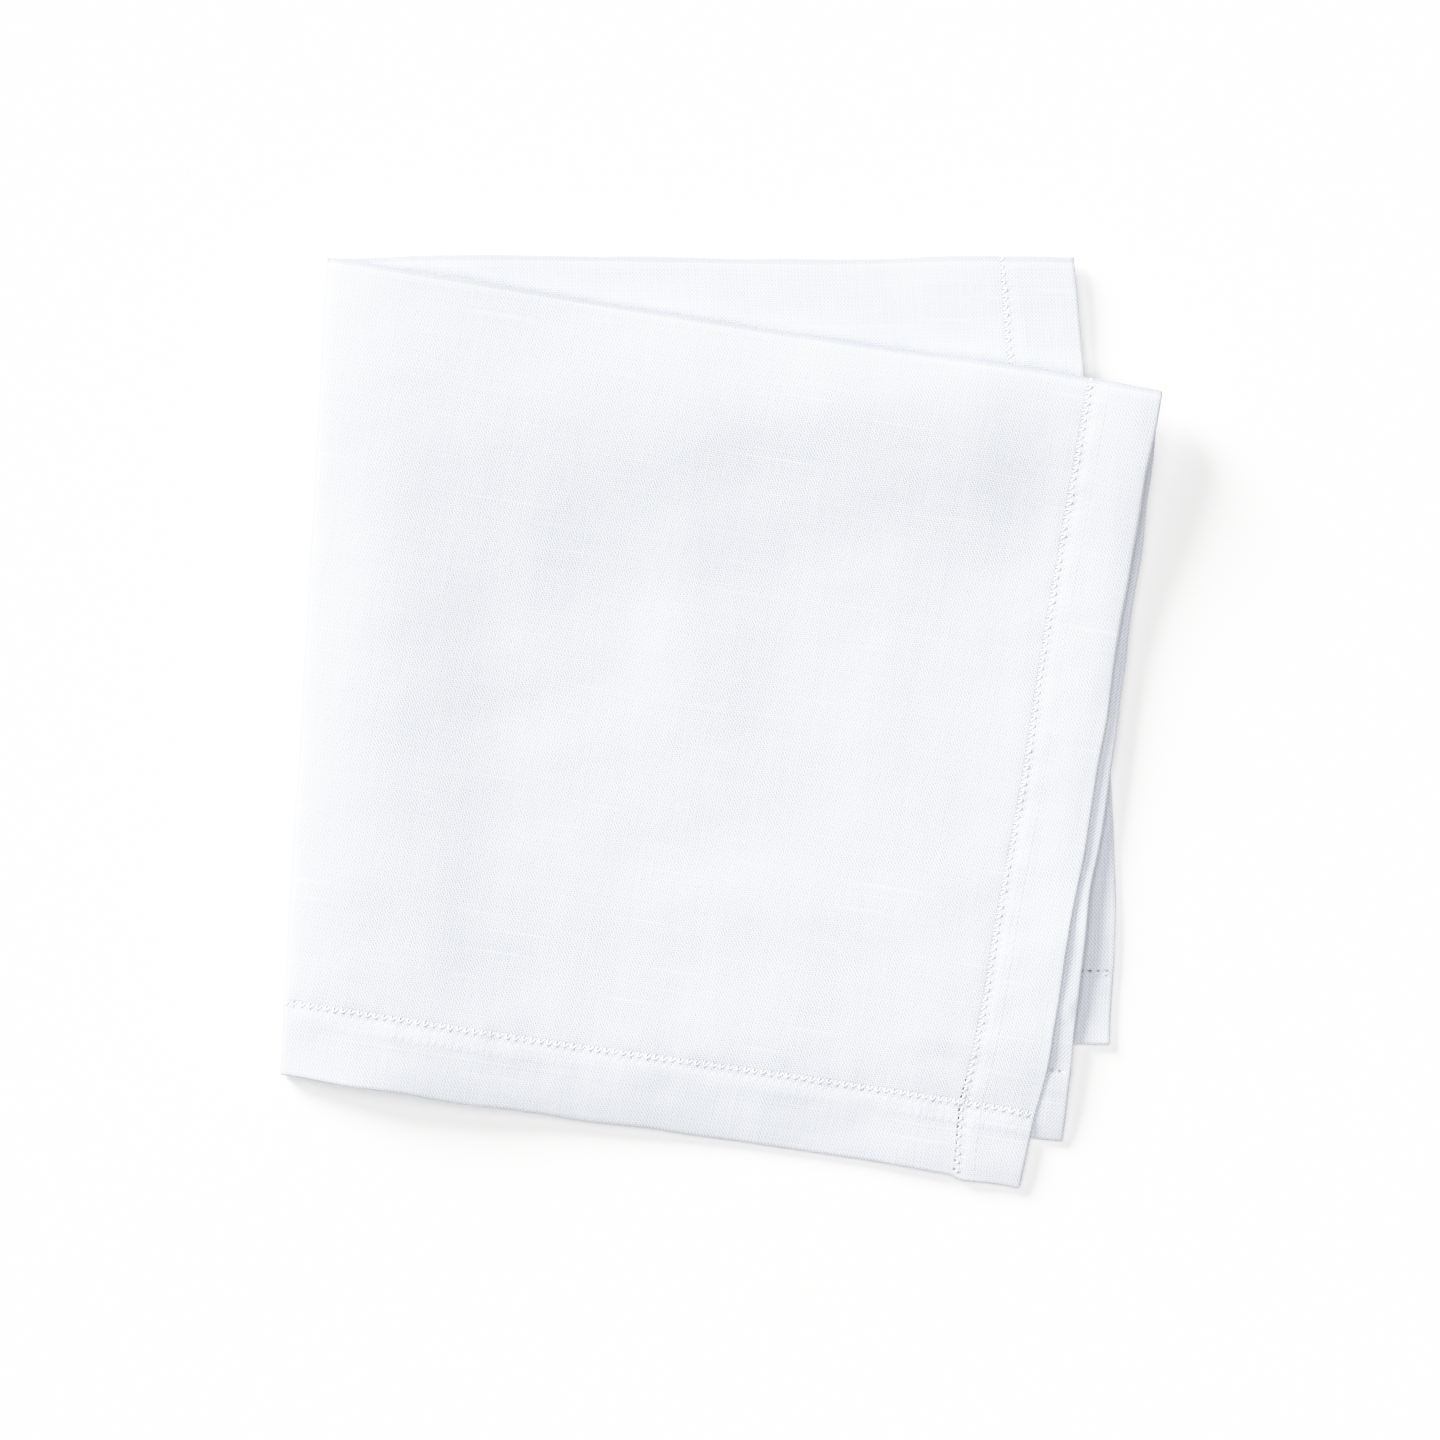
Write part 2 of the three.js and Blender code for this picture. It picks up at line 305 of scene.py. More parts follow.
def middle_surface(u, v):
    """Folds the cloth's middle: every place gets its layer, or its part of a fold's round."""
    along = np.maximum(np.abs(v) - TOP_ARC, 0) / (HALF - TOP_ARC)
    fold = second_fold(v)
    lower_share = np.maximum(fold - SIDE_ARC - u, 0) / (fold - SIDE_ARC)
    upper_share = np.maximum(u - fold - SIDE_ARC, 0) / (SIDE - fold - SIDE_ARC)
    turn = (np.clip((u - fold) / SIDE_ARC, -1, 1) * math.pi / 2)[:, None]
    sides = []
    for kind in ("outer", "inner"):
        low = patch(f"lower {kind}", lower_share, along)
        high = patch(f"upper {kind}", upper_share, along)
        bulge = np.append(INWARD, 0) * SIDE_FOLD_REACH[kind]
        sides.append((low + high) / 2 + (high - low) / 2 * np.sin(turn) - bulge * np.cos(turn))
    outer, inner = sides
    over = ((np.clip(v / TOP_ARC, -1, 1) + 1) * math.pi / 2)[:, None]
    bulge = np.append(UP, 0) * TOP_FOLD_REACH
    return (outer + inner) / 2 + (outer - inner) / 2 * np.cos(over) + bulge * np.sin(over)


# %% [markdown]
# Small unevenness
#
# No edge of real cloth is a ruled line and no layer is quite smooth. Sums of a few
# sine waves, drawn once from a fixed seed, shift the edges by a tenth of a
# millimetre or two and ripple the surface by about as much.

# %% Ripples and wandering edges
rng = np.random.default_rng(11)


def make_waves(count, shortest, longest):
    lengths = rng.uniform(shortest, longest, count)
    angles = rng.uniform(0, math.tau, count)
    phases = rng.uniform(0, math.tau, count)
    return np.column_stack([math.tau * np.cos(angles) / lengths, math.tau * np.sin(angles) / lengths,
                            phases, lengths / longest])


def ripple(waves, u, v):
    """The sum of a table of waves, about 1 high."""
    total = 0
    for wave_u, wave_v, phase, size in waves:
        total = total + size * np.sin(wave_u * u + wave_v * v + phase)
    return total / math.sqrt(len(waves) / 2)


soft_waves = make_waves(14, 14, 34)
fine_waves = make_waves(16, 4.5, 9)
edge_waves = make_waves(8, 7, 26)


def edge_distance(u, v):
    return np.minimum(np.minimum(u, SIDE - u), HALF - np.abs(v))


def stitch_distance(u, v):
    """Distance from the nearest line of stitches, positive towards the field."""
    to_side = np.minimum(u, SIDE - u) - HEM
    to_end = HALF - np.abs(v) - HEM
    return np.where(np.abs(to_side) < np.abs(to_end), to_side, to_end)


EDGE_WANDER = 0.14
BLOCK_STEP = 0.9
LINE_BEND = dict(places=[0, HEM, 40, 75], shifts=[1.45, -1.0, -0.4, 0], reach=9)


def shift_in_cloth(u, v):
    """Wandering edges, the side line's bend, and the end hem's longer block in the free corner."""
    wander = EDGE_WANDER * bell(edge_distance(u, v), 5) * ripple(edge_waves, u, v)
    block = soft_step(u, SIDE - HEM - 0.6, SIDE - HEM + 1.2) * soft_step(-v, HALF - HEM, HALF)
    bend = np.interp(HALF + v, LINE_BEND["places"], LINE_BEND["shifts"])
    skew = bend * bell(u - SIDE + HEM, LINE_BEND["reach"])
    return u + wander + skew, v + wander - BLOCK_STEP * block


def surface_ripple(u, v):
    """Soft ripples everywhere, and fine puckers beside the line of stitches."""
    puckers = 0.02 + 0.06 * bell(-stitch_distance(u, v) - 2.5, 5)
    return 0.10 * ripple(soft_waves, u, v) + puckers * ripple(fine_waves, u, v)


def folded(points):
    """Folds rows of u, v and height over the cloth's middle, and gives metres."""
    u, v, height = np.asarray(points, dtype=float).T

    def lie(u, v):
        return middle_surface(*shift_in_cloth(u, v))

    step = 0.1
    along_u = lie(u + step, v) - lie(u - step, v)
    along_v = lie(u, v + step) - lie(u, v - step)
    normal = np.cross(along_u, along_v)
    normal /= np.linalg.norm(normal, axis=1)[:, None]
    return (lie(u, v) + normal * (height + surface_ripple(u, v))[:, None]) * MM


probe_u = rng.uniform(0, SIDE, 5000)
probe_v = rng.uniform(-HALF, HALF, 5000)
print("highest ripple, mm:", round(float(np.abs(surface_ripple(probe_u, probe_v)).max()), 2))

# %% [markdown]
# Rows and columns of the grid
#
# The grid's cells follow the sewing: along each line of drawn threads they are one
# stitch long, so that each can hold one hole. They are finer round the two folds and
# at the very edge, where the hem turns over.

# %% Places of the rows and columns
NOSE = [0.0, 0.12, 0.45, 0.9]
HEM_CELLS = 8
FIELD_ROWS = 87
TOP_ARC_CELLS = 6
LOWER_COLUMNS = 88
SIDE_ARC_CELLS = 10
UPPER_COLUMNS = 82
LINE_CELL = len(NOSE) - 1 + HEM_CELLS
BORDER = LINE_CELL + 1
ROWS = 2 * (BORDER + FIELD_ROWS) + TOP_ARC_CELLS
COLUMNS = 2 * BORDER + LOWER_COLUMNS + SIDE_ARC_CELLS + UPPER_COLUMNS
hem_marks = [*NOSE, HEM - DRAWN_WIDTH / 2, HEM + DRAWN_WIDTH / 2]
hem_cells = [*range(len(NOSE)), LINE_CELL, BORDER]


def row_places(index):
    cells = [*hem_cells, BORDER + FIELD_ROWS]
    cells += [ROWS - c for c in reversed(cells)]
    marks = [*hem_marks, HALF - TOP_ARC]
    marks += [SIDE - m for m in reversed(marks)]
    return np.interp(index, cells, marks) - HALF


def column_places(index, v):
    cells = [*hem_cells, BORDER + LOWER_COLUMNS]
    cells += [COLUMNS - c for c in reversed([*hem_cells, BORDER + UPPER_COLUMNS])]
    fold = second_fold(v)
    marks = [*hem_marks, fold - SIDE_ARC, fold + SIDE_ARC, *[SIDE - m for m in reversed(hem_marks)]]
    return np.interp(index, cells, marks)


print("grid:", COLUMNS, "x", ROWS, "cells")

# %% [markdown]
# The open line of drawn threads
#
# A hemstitch draws out a few threads beside the hem and ties the ones that are left
# into small bundles, with a hole between each two. A boolean cut for each hole would
# be slow and rough, so the grid's own cells do it. A cell of the line is inset, and its
# middle is moved, leaned over and narrowed. Where the line stands open the middle is
# taken out; where it is nearly shut, it is only pressed down to a pit. Beside each
# stitch the needle leaves a prick in the hem, which is a second, smaller inset.

# %% Lay out the flat grid and find the cells of the lines
cloth = bmesh.new()
bmesh.ops.create_grid(cloth, x_segments=COLUMNS, y_segments=ROWS, size=0.5)
cells = {}
for face in cloth.faces:
    middle = face.calc_center_median()
    cells[int((middle.x + 0.5) * COLUMNS), int((middle.y + 0.5) * ROWS)] = face
grid_indices = [(round((v.co.x + 0.5) * COLUMNS), round((v.co.y + 0.5) * ROWS)) for v in cloth.verts]
row_place = row_places(np.arange(ROWS + 1))
column_place = [column_places(np.arange(COLUMNS + 1), v) for v in row_place]
for vert, (column, row) in zip(cloth.verts, grid_indices):
    vert.co = (column_place[row][column], row_place[row], 0)


def stitch_cells(count, arc_start, arc_cells):
    """Cells along a side that are one stitch long."""
    nose = len(NOSE) - 1
    skipped = {LINE_CELL, count - 1 - LINE_CELL, *range(arc_start, arc_start + arc_cells)}
    return [c for c in range(nose, count - nose) if c not in skipped]


rows_with_holes = stitch_cells(ROWS, BORDER + FIELD_ROWS, TOP_ARC_CELLS)
columns_with_holes = stitch_cells(COLUMNS, BORDER + LOWER_COLUMNS, SIDE_ARC_CELLS)
# Each line: the cells of its holes, the way to the hem, and the way its threads lean
LINES = {
    "lower side": dict(holes=[(LINE_CELL, r) for r in rows_with_holes], to_hem=(-1, 0), lean=(0, -1)),
    "upper side": dict(holes=[(COLUMNS - 1 - LINE_CELL, r) for r in rows_with_holes],
                       to_hem=(1, 0), lean=(0, 1)),
    "outer end": dict(holes=[(c, LINE_CELL) for c in columns_with_holes], to_hem=(0, -1), lean=(-1, 0)),
    "inner end": dict(holes=[(c, ROWS - 1 - LINE_CELL) for c in columns_with_holes],
                      to_hem=(0, 1), lean=(1, 0)),
}
print("holes:", sum(len(line["holes"]) for line in LINES.values()))

# %% How far the holes stand open
HOLE_INSET = 0.26
HOLE_LEAN = 0.12
HOLE_LENGTH = 0.85
HOLE_BACK = 0.28
HOLE_TO_FIELD = 0.24
PRICK_INSET = 0.68
PRICK_BACK = 0.38
OPEN_FROM = 0.6
PIT_DEPTH = 1.15
OPEN_UPPER_SIDE = 0.52
OPEN_LOWER_SIDE = 0.42
OPEN_TOP_END = 0.34
OPEN_OTHER_ENDS = 0.9
FREE_CORNER = dict(starts=140, ends=152, more=0.3)


def openness(u, v):
    """How far a hole stands open: nearly shut along the sides and the end of the top layer."""
    side = np.abs(np.minimum(u, SIDE - u) - HEM) < 1
    upper = u > HALF
    corner = FREE_CORNER["more"] * soft_step(-v, FREE_CORNER["starts"], FREE_CORNER["ends"])
    on_side = np.where(upper, OPEN_UPPER_SIDE + corner, OPEN_LOWER_SIDE)
    on_end = np.where(upper & (v < 0), OPEN_TOP_END, OPEN_OTHER_ENDS)
    return np.where(side, on_side, on_end)


print("open in the free corner:", float(openness(SIDE - HEM, -HALF)))

# %% Inset the holes and the pricks
hole_faces = []
pricks = {}
for line in LINES.values():
    to_hem = line["to_hem"]
    for cell in line["holes"]:
        hole_faces.append((cells[cell], line))
        pricks[cell[0] + to_hem[0], cell[1] + to_hem[1]] = line
prick_faces = [(cells[cell], line) for cell, line in pricks.items()]
for inset_faces, inset in ((hole_faces, HOLE_INSET), (prick_faces, PRICK_INSET)):
    bmesh.ops.inset_individual(cloth, faces=[face for face, _ in inset_faces], thickness=inset,
                               use_even_offset=True)
print("pricks:", len(prick_faces))

# %% Lean, open and press
for face, line in hole_faces:
    middle = face.calc_center_median()
    size = float(openness(middle.x, middle.y)) * rng.uniform(0.7, 1.15)
    width = size * rng.uniform(0.75, 1.05)
    for vert in face.verts:
        offset = np.array(vert.co - middle)[:2]
        across = offset @ np.array(line["to_hem"])
        lengthwise = offset @ np.array(line["lean"])
        across = across * width + HOLE_LEAN * lengthwise * size - HOLE_TO_FIELD
        lengthwise = lengthwise * size * HOLE_LENGTH - HOLE_BACK
        place = np.array(line["to_hem"]) * across + np.array(line["lean"]) * lengthwise
        vert.co = (middle.x + place[0], middle.y + place[1], 0)
prick_layer = cloth.verts.layers.float.new("prick")
for face, line in prick_faces:
    lean = np.array(line["lean"])
    for vert in face.verts:
        vert.co.x -= PRICK_BACK * lean[0]
        vert.co.y -= PRICK_BACK * lean[1]
        vert[prick_layer] = 1.0
open_faces = []
for face, line in hole_faces:
    middle = face.calc_center_median()
    if openness(middle.x, middle.y) > OPEN_FROM:
        open_faces.append(face)
    else:
        for vert in face.verts:
            vert[prick_layer] = PIT_DEPTH
bmesh.ops.delete(cloth, geom=open_faces, context="FACES_ONLY")
print("holes that stand open:", len(open_faces))
print("flat faces with holes:", len(cloth.faces))

# %% [markdown]
# Thickness, hem and folding
#
# Solidify gives the flat sheet its two sides and closes every edge and hole. Done
# before folding, it can't cut into itself at the tight folds. The hem is the cloth
# turned twice to the wrong side, so it is thicker there, and its edge is a fold, which
# is round. The line of drawn threads is a shallow groove.

# %% Give the sheet its two sides
bmesh.ops.solidify(cloth, geom=cloth.faces[:], thickness=1.0)
cloth.verts.ensure_lookup_table()
flat = np.array([v.co[:] for v in cloth.verts])
pricked = np.array([v[prick_layer] for v in cloth.verts])
levels = np.unique(flat[:, 2].round(3))
print("sides lie at", levels, "faces", len(cloth.faces))


GROOVE_DEPTH = 0.05
GROOVE_WIDTH = 0.8
PRICK_DEPTH = 0.16
ROUND_EDGE = 0.45
THINNEST = 0.12


def side_offset(u, v, right_side, pricked):
    """Height of the right or the wrong side over the middle of the cloth."""
    line = stitch_distance(u, v)
    hem = soft_step(-line, -0.4, 0.6)
    groove = GROOVE_DEPTH * bell(line, GROOVE_WIDTH)
    right = CLOTH / 2 - groove - PRICK_DEPTH * pricked
    wrong = -CLOTH / 2 - HEM_EXTRA * hem + 0.5 * groove
    edge = np.clip(edge_distance(u, v) / ROUND_EDGE, 0, 1)
    roundness = np.maximum(np.sqrt(1 - (1 - edge) ** 2), THINNEST)
    centre = (right + wrong) / 2
    return centre + (np.where(right_side, right, wrong) - centre) * roundness


ON_FLOOR = 0.02 * MM
TOP_CORNER_RADIUS = 1.0
OTHER_CORNER_RADIUS = 0.5


def round_corner(u, v):
    """Draws a square corner of the cloth in to a rounded one."""
    radius = np.where((u > HALF) & (v < 0), TOP_CORNER_RADIUS, OTHER_CORNER_RADIUS)
    short_u = radius - np.minimum(u, SIDE - u)
    short_v = radius - (HALF - np.abs(v))
    both = (short_u > 0) & (short_v > 0)
    reach = np.hypot(short_u, short_v)
    pull = np.where(both, np.maximum(short_u, short_v) / np.where(both, reach, 1), 1)
    new_u = np.where(both, short_u * pull, short_u)
    new_v = np.where(both, short_v * pull, short_v)
    u = np.where(both, np.where(u < HALF, radius - new_u, SIDE - radius + new_u), u)
    v = np.where(both, np.sign(v) * (HALF - radius + new_v), v)
    return u, v


right_side = flat[:, 2] > flat[:, 2].mean()
u, v = round_corner(flat[:, 0], flat[:, 1])
height = side_offset(u, v, right_side, pricked)
places = folded(np.column_stack([u, v, height]))
places[:, 2] = np.maximum(places[:, 2], ON_FLOOR)
print("folded height, mm:", round(places[:, 2].min() / MM, 2), "to", round(places[:, 2].max() / MM, 2))

# %% Write the weave's coordinates, then fold
weave_map = cloth.loops.layers.uv.new("weave")
for face in cloth.faces:
    for loop in face.loops:
        x, y, _ = flat[loop.vert.index]
        loop[weave_map].uv = (x * MM, (y + HALF) * MM)
for vert, place in zip(cloth.verts, places):
    vert.co = place
bmesh.ops.recalc_face_normals(cloth, faces=cloth.faces[:])
print("cloth volume, cm3:", round(cloth.calc_volume() * 1e6, 2))


def add_piece(name, shape):
    """Makes a smooth object of a bmesh."""
    mesh = bpy.data.meshes.new(name)
    shape.to_mesh(mesh)
    shape.free()
    mesh.polygons.foreach_set("use_smooth", [True] * len(mesh.polygons))
    piece = bpy.data.objects.new(name, mesh)
    bpy.context.scene.collection.objects.link(piece)
    mesh.calc_loop_triangles()
    print(name, "triangles:", len(mesh.loop_triangles))
    return piece


linen_sheet = add_piece("linen_sheet", cloth)

# %% [markdown]
# The hemstitches
#
# Each bundle of threads is tied by a loop of sewing thread. It starts in the field,
# goes out over the open line into the hem, round the next hole, and back, so the
# loops stand in a row like scallops. They could be curves with a bevel, but a straight
# thread is simpler: an Array repeats it, each copy is bent to a loop of its own length,
# width and thickness, and all are folded with the cloth.

# %% One loop of thread, repeated
def thread_template(rings, sides=6):
    """A straight thread from z 0 to 1 with its radius 1."""
    thread = bmesh.new()
    bmesh.ops.create_cone(thread, cap_ends=True, segments=sides, radius1=1, radius2=1, depth=1)
    long_edges = [e for e in thread.edges if abs(e.verts[0].co.z - e.verts[1].co.z) > 0.5]
    bmesh.ops.subdivide_edges(thread, edges=long_edges, cuts=rings)
    bmesh.ops.translate(thread, verts=thread.verts, vec=(0, 0, 0.5))
    return thread


def repeated(template, count):
    """The template's mesh, count times over, each copy after the last."""
    mesh = bpy.data.meshes.new("template")
    template.to_mesh(mesh)
    template.free()
    holder = bpy.data.objects.new("template", mesh)
    bpy.context.scene.collection.objects.link(holder)
    array = holder.modifiers.new("Array", "ARRAY")
    array.use_relative_offset = False
    array.use_constant_offset = True
    array.constant_offset_displace = (0, 0, 0)
    array.count = count
    evaluated = holder.evaluated_get(bpy.context.evaluated_depsgraph_get())
    result = bpy.data.meshes.new_from_object(evaluated)
    bpy.data.objects.remove(holder)
    return result


def coordinates(mesh):
    values = np.empty(len(mesh.vertices) * 3)
    mesh.vertices.foreach_get("co", values)
    return values.reshape(-1, 3)


# %% Where the stitches sit
def stitch_bars(line, on_side):
    """The cell borders along a line that carry a stitch, with those in the fold's round."""
    first, cells_in_arc, every = BORDER + LOWER_COLUMNS, SIDE_ARC_CELLS, 2
    if on_side:
        first, cells_in_arc, every = BORDER + FIELD_ROWS, TOP_ARC_CELLS, 3
    along = [cell[1 if on_side else 0] for cell in line["holes"]]
    return sorted({*along, *[a + 1 for a in along], *range(first, first + cells_in_arc + 1, every)})


stitches = []
for line in LINES.values():
    on_side = line["to_hem"][1] == 0
    fixed = line["holes"][0][0 if on_side else 1]
    for bar in stitch_bars(line, on_side):
        if on_side:
            left, right = column_place[bar][fixed:fixed + 2]
            place = ((left + right) / 2, row_place[bar])
        else:
            v = (row_place[fixed] + row_place[fixed + 1]) / 2
            place = (float(column_places(bar, v)), v)
        stitches.append((*place, *line["to_hem"], *line["lean"]))
stitches = np.array(stitches)
print("stitches:", len(stitches))

# %% Bend each copy to a loop
THREAD_SINK = 0.12
THREAD_FLATNESS = 0.38
LOOP_START = 0.38
LOOP_MIDDLE = 0.52
LOOP_SLANT = 0.35
thread_mesh = repeated(thread_template(rings=7), len(stitches))
straight = coordinates(thread_mesh).reshape(len(stitches), -1, 3)
around = straight[:, :, 2] * math.pi


def varied(low, high):
    """One random value for each stitch."""
    return rng.uniform(low, high, (len(stitches), 1))


loop_length = varied(0.80, 1.05)
loop_width = varied(0.40, 0.50)
across = loop_length * np.sin(around) - LOOP_START
sideways = LOOP_MIDDLE - loop_width * np.cos(around) + LOOP_SLANT * across
step_across = loop_length * np.cos(around)
step_sideways = loop_width * np.sin(around) + LOOP_SLANT * step_across
radius = varied(0.23, 0.30) * (0.6 + 0.4 * np.sin(around))
out = straight[:, :, 0] * radius / np.hypot(step_across, step_sideways)
across = across + out * step_sideways
sideways = sideways - out * step_across
height = CLOTH / 2 - THREAD_SINK + varied(0.03, 0.08) * np.sin(around)
height = height + straight[:, :, 1] * radius * THREAD_FLATNESS
print("thickest thread, mm:", round(2 * float(radius.max()), 2))

# %% Fold the stitches with the cloth
to_hem = stitches[:, None, 2:4]
lean = stitches[:, None, 4:6]
flat_uv = stitches[:, None, 0:2] + to_hem * across[:, :, None] + lean * sideways[:, :, None]
flat_points = np.concatenate([flat_uv, height[:, :, None]], axis=2)
thread_places = folded(flat_points.reshape(-1, 3))
thread_places[:, 2] = np.maximum(thread_places[:, 2], ON_FLOOR)
thread_mesh.vertices.foreach_set("co", thread_places.ravel())
threads = bmesh.new()
threads.from_mesh(thread_mesh)
bmesh.ops.recalc_face_normals(threads, faces=threads.faces[:])
hem_stitches = add_piece("hem_stitches", threads)

# %% [markdown]
# Shader sums
#
# A weave is arithmetic: sines, signs and largest-of. One small class lets a material's
# sockets be added and multiplied as Python numbers are, and each sum adds its own Math
# node. Every other node comes from one method, which takes its settings and inputs.

# %% A socket that can be summed
class Signal:
    """An output socket that can be added, multiplied and stepped like a number."""

    def __init__(self, finish, socket):
        self.finish = finish
        self.socket = socket

    def maths(self, operation, *others):
        return self.finish.node("ShaderNodeMath", dict(operation=operation),
                                dict(enumerate([self, *others])))

    def __add__(self, other):
        return self.maths("ADD", other)

    def __sub__(self, other):
        return self.maths("SUBTRACT", other)

    def __mul__(self, other):
        return self.maths("MULTIPLY", other)

    def __truediv__(self, other):
        return self.maths("DIVIDE", other)

    def __rsub__(self, other):
        return self.finish.node("ShaderNodeMath", dict(operation="SUBTRACT"), {0: other, 1: self})

    __radd__ = __add__
    __rmul__ = __mul__

    def step(self, low, high):
        """0 below low, 1 above high, and smooth between them."""
        return self.finish.node("ShaderNodeMapRange", dict(interpolation_type="SMOOTHSTEP"),
                                {"Value": self, "From Min": low, "From Max": high})


class Finish:
    """A material whose nodes are added one by one."""

    def __init__(self, name):
        self.material = bpy.data.materials.new(name)
        self.material.use_nodes = True
        self.tree = self.material.node_tree
        self.shader = self.tree.nodes["Principled BSDF"]

    def node(self, kind, settings=None, inputs=None, output=0):
        made = self.tree.nodes.new(kind)
        for name, value in (settings or {}).items():
            setattr(made, name, value)
        for name, value in (inputs or {}).items():
            self.set(made.inputs[name], value)
        return Signal(self, made.outputs[output])

    def set(self, socket, value):
        if isinstance(value, Signal):
            self.tree.links.new(value.socket, socket)
        else:
            socket.default_value = value

    def noise(self, place, scale, detail=0.0, roughness=0.5):
        return self.node("ShaderNodeTexNoise", None,
                         {"Vector": place, "Scale": scale, "Detail": detail, "Roughness": roughness})

    def place(self, x=0.0, y=0.0, z=0.0):
        return self.node("ShaderNodeCombineXYZ", None, {0: x, 1: y, 2: z})

    def blend(self, factor, first, second):
        made = self.tree.nodes.new("ShaderNodeMix")
        made.data_type = "RGBA"
        self.set(made.inputs[0], factor)
        self.set(made.inputs[6], first)
        self.set(made.inputs[7], second)
        return Signal(self, made.outputs[2])


# %% [markdown]
# Linen
#
# The cloth is a plain weave of uneven flax threads: 28 warp threads and 22 weft
# threads a centimetre. Each thread goes over and under the next, and swells here and
# there to a slub. The pattern is worked out from the unfolded cloth's own
# coordinates, so it turns with each layer and never slides. Much of the weave's light
# and shade is painted into its colour: painted shade in the gaps between the threads,
# painted highlights and shade on the floats, a painted diagonal of light and shade
# from the key light, and painted shade along the round of each fold.

# %% The weave
WARP_PITCH = 0.351 * MM
WEFT_PITCH = 0.443 * MM
SWAY = 1.4
OVER = 0.42
linen = Finish("linen")
uv = linen.node("ShaderNodeUVMap", dict(uv_map="weave"))
split = linen.tree.nodes.new("ShaderNodeSeparateXYZ")
linen.tree.links.new(uv.socket, split.inputs[0])
along_weft = Signal(linen, split.outputs[0])
along_warp = Signal(linen, split.outputs[1])
across = along_weft / WARP_PITCH + (linen.noise(uv, 160.0, 2.0) - 0.5) * SWAY
down = along_warp / WEFT_PITCH + (linen.noise(uv, 120.0, 2.0) - 0.5) * SWAY
warp_wave = (across * math.pi).maths("SINE")
weft_wave = (down * math.pi).maths("SINE")
warp_round = warp_wave.maths("ABSOLUTE")
weft_round = weft_wave.maths("ABSOLUTE")
warp_index = across.maths("FLOOR")
weft_index = down.maths("FLOOR")
warp_fat = linen.noise(linen.place(warp_index * 3.71, along_warp * 70.0, 0.3), 1.0, 1.0)
weft_fat = linen.noise(linen.place(along_weft * 30.0, weft_index * 4.13, 7.9), 1.0, 1.0)
warp_slub = warp_fat.step(0.70, 0.86)
weft_slub = weft_fat.step(0.67, 0.78)
warp_over = warp_wave.maths("SIGN") * weft_wave * OVER
weft_over = weft_wave.maths("SIGN") * warp_wave * OVER
warp_top = warp_round * (0.5 + 0.5 * warp_fat) + warp_over + warp_slub * 0.3
weft_top = weft_round * (0.5 + 0.5 * weft_fat) - weft_over + weft_slub * 0.25
checks = warp_wave * weft_wave
# A diagonal wave, used in the colour as painted light and shade from the key light.
diagonal_light = ((across + down) * math.pi).maths("COSINE")
weave = warp_top.maths("MAXIMUM", weft_top)
pin = (warp_round.maths("MAXIMUM", weft_round)).step(0.72, 0.30)
print("nodes in the weave:", len(linen.tree.nodes))

# %% Colour of the linen
LINEN_LIGHT = (0.896, 0.910, 0.954, 1.0)
# The next colour is painted shade: it darkens the gaps between the threads, the shaded sides of the
# weave, and a little the thinner threads.
LINEN_SHADE = (0.30, 0.36, 0.46, 1.0)
# The next colour is painted highlight on lit thread tops, and the tone of paler threads.
LINEN_BRIGHT = (0.985, 0.991, 1.0, 1.0)
# The next colour is painted shade along the rims of the two folds.
LINEN_FOLD_SHADE = (0.36, 0.37, 0.43, 1.0)
LINEN_SLUB = (0.935, 0.950, 0.992, 1.0)
# The next four strengths are painted light and shade of the weave: a diagonal of light and shade from
# the key light, and lit and shaded floats and threads.
DIAGONAL_LIGHT_TONE = 0.58
CHECK_TONE = 0.26
WARP_TONE = 0.15
WEFT_TONE = 0.02
cloudy = linen.noise(uv, 45.0, 3.0, 0.6)
# Painted shade in the gaps between the threads.
pin_shade = pin * (0.09 + 0.06 * cloudy)
colour = linen.blend(pin_shade, LINEN_LIGHT, LINEN_SHADE)
crisp = 0.42 + 1.15 * cloudy
# Painted light and shade of the weave's relief, added to the real random tone of thick and thin
# threads; the sum lightens towards the bright colour and darkens towards the shade colour.
pattern = diagonal_light * DIAGONAL_LIGHT_TONE + checks * CHECK_TONE + warp_wave * WARP_TONE + weft_wave * WEFT_TONE
thread_tone_and_light = (warp_fat - 0.5) * 0.5 + (weft_fat - 0.5) * 0.3 + pattern * crisp
colour = linen.blend(thread_tone_and_light.maths("MAXIMUM", 0.0), colour, LINEN_BRIGHT)
colour = linen.blend((0.0 - thread_tone_and_light).maths("MAXIMUM", 0.0) * 0.40, colour, LINEN_SHADE)
colour = linen.blend((warp_slub * 0.4).maths("MAXIMUM", weft_slub) * 0.8, colour, LINEN_SLUB)
from_first_fold = (along_warp / MM - HALF).maths("ABSOLUTE")
second_fold_place = FOLD_AT_TOP + FOLD_SLANT * from_first_fold
from_second_fold = (along_weft / MM - second_fold_place).maths("ABSOLUTE")
# Painted shade: a dark band along the round of each fold, darkest near its rim.
first_fold_shade = (1.0 - from_first_fold.step(0.7, 1.9)) * 0.48
second_fold_shade = (1.0 - from_second_fold.step(1.0, 3.0)) * 0.36
colour = linen.blend(first_fold_shade + second_fold_shade, colour, LINEN_FOLD_SHADE)
print("nodes with the colour:", len(linen.tree.nodes))

# %% Relief of the linen
from_side = along_weft.maths("MINIMUM", SIDE * MM - along_weft) / MM - HEM
from_end = along_warp.maths("MINIMUM", SIDE * MM - along_warp) / MM - HEM


def band(distance, middle, half_width):
    """1 at the middle of a band that lies that far out in the hem, 0 outside it."""
    return 1.0 - (distance + middle).maths("ABSOLUTE").step(0.0, half_width)


def beads(along):
    """A row of small bumps, two to each stitch."""
    unevenness = linen.noise(uv, 300.0, 1.0) * 4.0
    return (along * (math.pi / (PITCH * MM)) + unevenness).maths("SINE").maths("ABSOLUTE")


